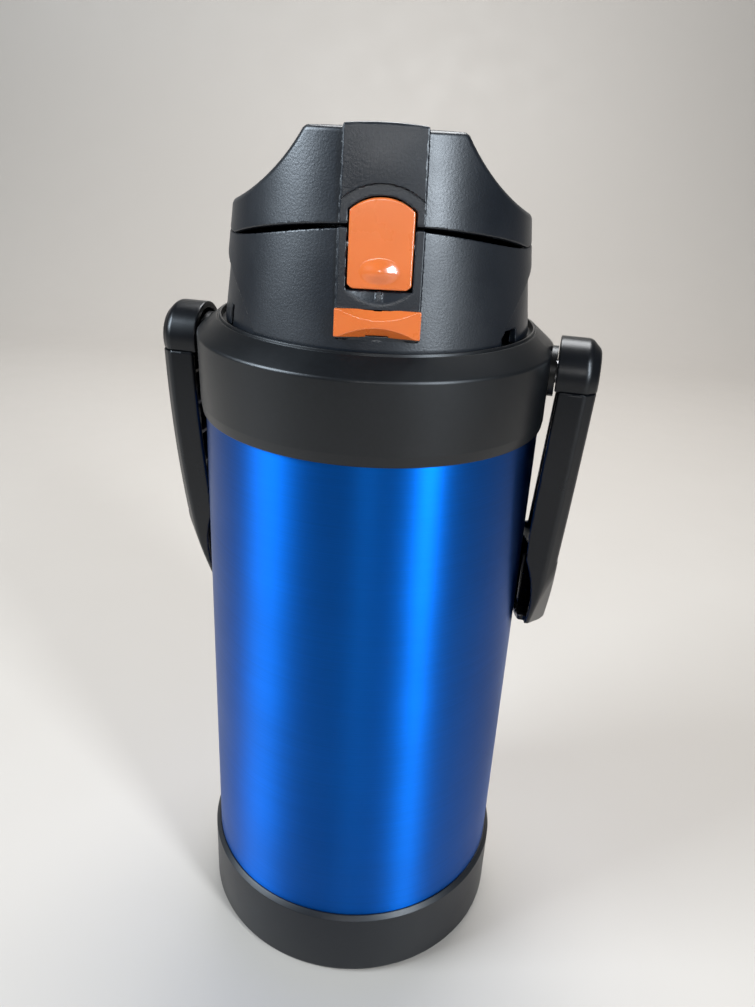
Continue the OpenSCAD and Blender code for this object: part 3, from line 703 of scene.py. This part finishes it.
class Paint:
    """A small builder for one node material."""

    def __init__(self, name, colour, roughness, metallic=0.0):
        self.material = bpy.data.materials.new(name)
        self.material.use_nodes = True
        self.tree = self.material.node_tree
        self.shader = self.tree.nodes["Principled BSDF"]
        self.set("Base Color", (*colour, 1))
        self.set("Roughness", roughness)
        self.set("Metallic", metallic)
        self.place = self.add("ShaderNodeTexCoord").outputs["Object"]

    def add(self, kind, **values):
        node = self.tree.nodes.new(kind)
        for key, value in values.items():
            setattr(node, key, value)
        return node

    def set(self, socket, value):
        self.shader.inputs[socket].default_value = value

    def link(self, output, socket):
        self.tree.links.new(output, socket)

    def noise(self, per_metre, detail=2.0, stretch=(1, 1, 1), rough=0.5):
        """Noise with the given number of cells to the metre."""
        mapping = self.add("ShaderNodeMapping")
        mapping.inputs["Scale"].default_value = stretch
        self.link(self.place, mapping.inputs["Vector"])
        node = self.add("ShaderNodeTexNoise")
        node.inputs["Scale"].default_value = per_metre
        node.inputs["Detail"].default_value = detail
        node.inputs["Roughness"].default_value = rough
        self.link(mapping.outputs["Vector"], node.inputs["Vector"])
        return node.outputs["Fac"]

    def spread(self, value, low, high, start=0.3, end=0.7):
        """Maps a noise value to the range low to high."""
        node = self.add("ShaderNodeMapRange")
        node.inputs["From Min"].default_value = start
        node.inputs["From Max"].default_value = end
        node.inputs["To Min"].default_value = low
        node.inputs["To Max"].default_value = high
        self.link(value, node.inputs["Value"])
        return node.outputs["Result"]

    def tint(self, value, first, second, start=0.3, end=0.7):
        """A colour that goes from first to second with the value."""
        node = self.add("ShaderNodeValToRGB")
        node.color_ramp.elements[0].position = start
        node.color_ramp.elements[1].position = end
        node.color_ramp.elements[0].color = (*first, 1)
        node.color_ramp.elements[1].color = (*second, 1)
        self.link(value, node.inputs["Fac"])
        self.link(node.outputs["Color"], self.shader.inputs["Base Color"])

    def roughen(self, value):
        self.link(value, self.shader.inputs["Roughness"])

    def bump(self, value, depth_mm, strength=1.0, after=None):
        node = self.add("ShaderNodeBump")
        node.inputs["Strength"].default_value = strength
        node.inputs["Distance"].default_value = depth_mm * MM
        self.link(value, node.inputs["Height"])
        if after:
            self.link(after, node.inputs["Normal"])
        self.link(node.outputs["Normal"], self.shader.inputs["Normal"])
        return node.outputs["Normal"]


def blue_lacquer():
    """Blue lacquer over steel brushed round the body, which draws reflections into upright bands."""
    p = Paint("blue_lacquer", (0.001, 0.096, 0.44), 0.4, 1.0)
    grain = p.noise(60, 3, (0.5, 0.5, 60))
    p.tint(grain, (0.0005, 0.090, 0.41), (0.0010, 0.103, 0.48))
    p.roughen(p.spread(p.noise(9, 2, (1, 1, 3)), 0.37, 0.43))
    p.bump(grain, 0.015, 0.3)
    p.set("Anisotropic", 0.9)
    p.set("Anisotropic Rotation", 0.25)
    around = p.add("ShaderNodeTangent", direction_type="RADIAL", axis="Z")
    p.link(around.outputs["Tangent"], p.shader.inputs["Tangent"])
    p.set("Coat Weight", 0.06)
    p.set("Coat Roughness", 0.06)
    return p.material


def black_plastic(name, colour, roughness, grain_per_metre, depth, patches, shine):
    """Moulded black plastic: fine grain, slightly uneven gloss and a faint coarser bump."""
    p = Paint(name, colour, roughness)
    soft = p.noise(28, 4)
    p.roughen(p.spread(soft, roughness - patches, roughness + patches))
    lighter = tuple(1.5 * c for c in colour)
    p.tint(p.noise(grain_per_metre, 2), colour, lighter, 0.4, 0.75)
    first = p.bump(p.noise(grain_per_metre, 3), depth, 0.5)
    p.bump(p.noise(grain_per_metre / 8, 2), depth * 2, 0.04, first)
    p.set("Specular IOR Level", shine)
    return p.material


def orange_gloss():
    p = Paint("orange_gloss", (0.52, 0.115, 0.021), 0.28)
    p.tint(p.noise(40, 3), (0.50, 0.108, 0.019), (0.55, 0.123, 0.024))
    p.roughen(p.spread(p.noise(120, 4), 0.24, 0.34))
    p.bump(p.noise(700, 2), 0.01, 0.2)
    p.set("Subsurface Weight", 0.08)
    p.set("Subsurface Scale", 0.002)
    p.set("Coat Weight", 0.9)
    p.set("Coat Roughness", 0.08)
    return p.material


def steel(name, colour, roughness, stretch):
    p = Paint(name, colour, roughness, 1.0)
    grain = p.noise(150, 3, stretch)
    p.roughen(p.spread(grain, roughness - 0.06, roughness + 0.08))
    darker = tuple(0.85 * c for c in colour)
    p.tint(grain, darker, colour)
    p.bump(grain, 0.01, 0.2)
    return p.material


def silicone():
    p = Paint("seal_rubber", (0.68, 0.69, 0.70), 0.5)
    p.roughen(p.spread(p.noise(300, 3), 0.44, 0.58))
    p.tint(p.noise(90, 3), (0.64, 0.65, 0.66), (0.71, 0.72, 0.73))
    p.bump(p.noise(1200, 2), 0.01, 0.2)
    p.set("Subsurface Weight", 0.15)
    p.set("Subsurface Scale", 0.003)
    return p.material


def foam():
    p = Paint("insulating_foam", (0.82, 0.79, 0.70), 0.9)
    cells = p.noise(700, 4)
    p.tint(cells, (0.70, 0.67, 0.58), (0.86, 0.83, 0.75))
    p.roughen(p.spread(cells, 0.85, 0.95))
    p.bump(cells, 0.1, 0.4)
    return p.material


def floor_paint():
    p = Paint("floor", (0.385, 0.345, 0.305), 0.6)
    p.roughen(p.spread(p.noise(20, 3), 0.5, 0.6))
    return p.material


# Colour, roughness, grain cells to the metre, grain depth in mm, unevenness of the gloss, and shine
# The blue cast in these near-black colours is a painted reflection: it stands in for the sky-blue window
# light that the plastics reflect.
BLACK_PLASTICS = {
    "black_textured": ((0.0026, 0.0040, 0.0064), 0.36, 1500, 0.09, 0.08, 0.62),
    "black_satin": ((0.0026, 0.0030, 0.0036), 0.34, 900, 0.010, 0.06, 0.4),
    "black_handle": ((0.0015, 0.0019, 0.0028), 0.30, 900, 0.015, 0.05, 0.32),
    "black_base": ((0.0020, 0.0028, 0.0044), 0.40, 900, 0.012, 0.05, 0.45),
}
MATERIALS = {name: black_plastic(name, *looks) for name, looks in BLACK_PLASTICS.items()}
MATERIALS.update({
    "blue_lacquer": blue_lacquer(),
    "orange_gloss": orange_gloss(),
    "bare_steel": steel("bare_steel", (0.60, 0.60, 0.61), 0.3, (1, 1, 12)),
    "copper_foil": steel("copper_foil", (0.80, 0.45, 0.28), 0.25, (1, 1, 1)),
    "insulating_foam": foam(),
    "spring_steel": steel("spring_steel", (0.68, 0.68, 0.70), 0.2, (4, 1, 1)),
    "seal_rubber": silicone(),
})

# ---- Pieces ----


def piece(obj, body, slot, node):
    """Rides obj on its body in place of its CAD node, in its slot's material."""
    obj.data.materials.clear()
    obj.data.materials.append(MATERIALS[slot])
    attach(obj, body)
    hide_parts(node)


# Node, body, material slot, field, low and high corner of the grid, and cell
CARVED = (
    ("lid_cover", "lid", "black_textured", lid_cover_field, (-50.5, -52, 276), (50.5, 57, 313), 0.55),
    ("cap_shell", "cap", "black_textured", cap_shell_field, (-53, -53, 250), (53, 57, 288), 0.55),
    ("button", "button", "orange_gloss", button_field, (-9.6, -53, 268), (9.6, -40, 295), 0.3),
    ("lock_slide", "lock", "orange_gloss", lock_field, (-12.8, -56, 254.5), (12.8, -42, 266), 0.3),
)
for node, body, slot, field, low, high, cell in CARVED:
    piece(carve(node + "_smooth", field, low, high, cell), body, slot, node)

bow = carve("handle_bow_smooth", handle_bow_field, (-78, -13.5, BOW_LOW - 1.5), (78, 75, 250), 0.7,
            turn=-HANDLE_TURN)
piece(bow, "handle", "black_handle", "handle_bow")
for node, flip in (("handle_cap_right", 1), ("handle_cap_left", -1)):
    near, far = sorted((flip * 61.5, flip * 77.5))
    cover = carve(node + "_smooth", lambda x, y, z: handle_cap_field(flip * x, y, z),
                  (near, -13, 234.5), (far, 13, 252), 0.4, turn=-HANDLE_TURN)
    piece(cover, "handle", "black_handle", node)

collar = lathe("collar_smooth", rounded(COLLAR_PROFILE), 480)
flatten_sides(collar)
collar.data.transform(Matrix.Rotation(-HANDLE_TURN, 4, "Z"))
piece(collar, "vessel", "black_satin", "collar")
piece(lathe("body_smooth", rounded(SHELL_PROFILE)), "vessel", "blue_lacquer", "outer_shell")
piece(lathe("boot_smooth", rounded(BOOT_PROFILE)), "vessel", "black_base", "base_boot")

for sub in frame["record"]["subparts"]:
    node = frame["nodes"][sub["node"]]
    if node.hide_render:
        continue
    node.data.materials.clear()
    node.data.materials.append(MATERIALS[sub["material_slot"]])

# ---- Floor, light and camera ----


def sheet_mesh(name, size, rise_from, height, steps=24):
    """A floor that curves up into a backdrop."""
    profile = [(-size, 0.0), (rise_from, 0.0)]
    for k in range(1, steps + 1):
        a = math.pi / 2 * k / steps
        profile.append((rise_from + height * math.sin(a), height * (1 - math.cos(a))))
    profile.append((rise_from + height, 4 * height))
    points = np.array([(x, y, z) for x in (-size, size) for y, z in profile]) / MM
    n = len(profile)
    faces = np.array([(i, n + i, n + i + 1, i + 1) for i in range(n - 1)])
    return new_mesh(name, points, faces)


floor = bpy.data.objects.new("floor", sheet_mesh("floor", 2.2, 0.9, 0.6))
floor.data.materials.append(floor_paint())
for polygon in floor.data.polygons:
    polygon.use_smooth = True
bpy.context.scene.collection.objects.link(floor)


def softbox(name, place, aim, width, height, power, colour=(1, 1, 1)):
    data = bpy.data.lights.new(name, "AREA")
    data.shape = "RECTANGLE"
    data.size = width
    data.size_y = height
    data.energy = power
    data.color = colour
    lamp = bpy.data.objects.new(name, data)
    lamp.location = place
    lamp.rotation_euler = (Vector(aim) - Vector(place)).to_track_quat("-Z", "Y").to_euler()
    bpy.context.scene.collection.objects.link(lamp)
    return lamp


softbox("window_left", (-1.20, -0.40, 0.92), (0, 0, 0.20), 0.60, 0.8, 36, (0.76, 0.88, 1.0))
softbox("strip_right", (0.64, -0.80, 0.66), (0, 0, 0.22), 0.18, 0.8, 18, (0.80, 0.90, 1.0))
softbox("front_fill", (-0.03, -1.45, 0.75), (0, 0, 0.20), 0.3, 0.3, 2.6)
softbox("overhead", (0.10, 0.60, 1.2), (0.05, 0.45, 0), 0.8, 0.6, 20, (0.96, 0.98, 1.0))

world = bpy.data.worlds.new("studio")
world.use_nodes = True
world.node_tree.nodes["Background"].inputs["Color"].default_value = (0.92, 0.95, 1.0, 1)
world.node_tree.nodes["Background"].inputs["Strength"].default_value = 0.10
bpy.context.scene.world = world
bpy.context.scene.view_settings.view_transform = "Standard"


FOCAL_LENGTH = 828
PICTURE_HEIGHT = 1007


def photo_camera():
    """The photograph's camera: in front of the button, above it, and rolled a little."""
    pitch = math.radians(24.57)
    yaw = math.radians(0.70)
    roll = math.radians(-3.12)
    ahead = Vector((math.sin(yaw), math.cos(yaw), 0))
    right = Vector((math.cos(yaw), -math.sin(yaw), 0))
    up = Vector((0, 0, 1))
    look = ahead * math.cos(pitch) - up * math.sin(pitch)
    top = up * math.cos(pitch) + ahead * math.sin(pitch)
    side = right * math.cos(roll) - top * math.sin(roll)
    top = top * math.cos(roll) + right * math.sin(roll)
    data = bpy.data.cameras.new("photo_camera")
    data.sensor_fit = "VERTICAL"
    data.sensor_height = 36.0
    data.lens = data.sensor_height * FOCAL_LENGTH / PICTURE_HEIGHT
    data.clip_start = 0.01
    camera = bpy.data.objects.new("photo_camera", data)
    turn = Matrix((side, top, -look)).transposed().to_4x4()
    camera.matrix_world = Matrix.Translation((0, -0.2861, 0.3116)) @ turn
    bpy.context.scene.collection.objects.link(camera)
    bpy.context.scene.camera = camera


photo_camera()
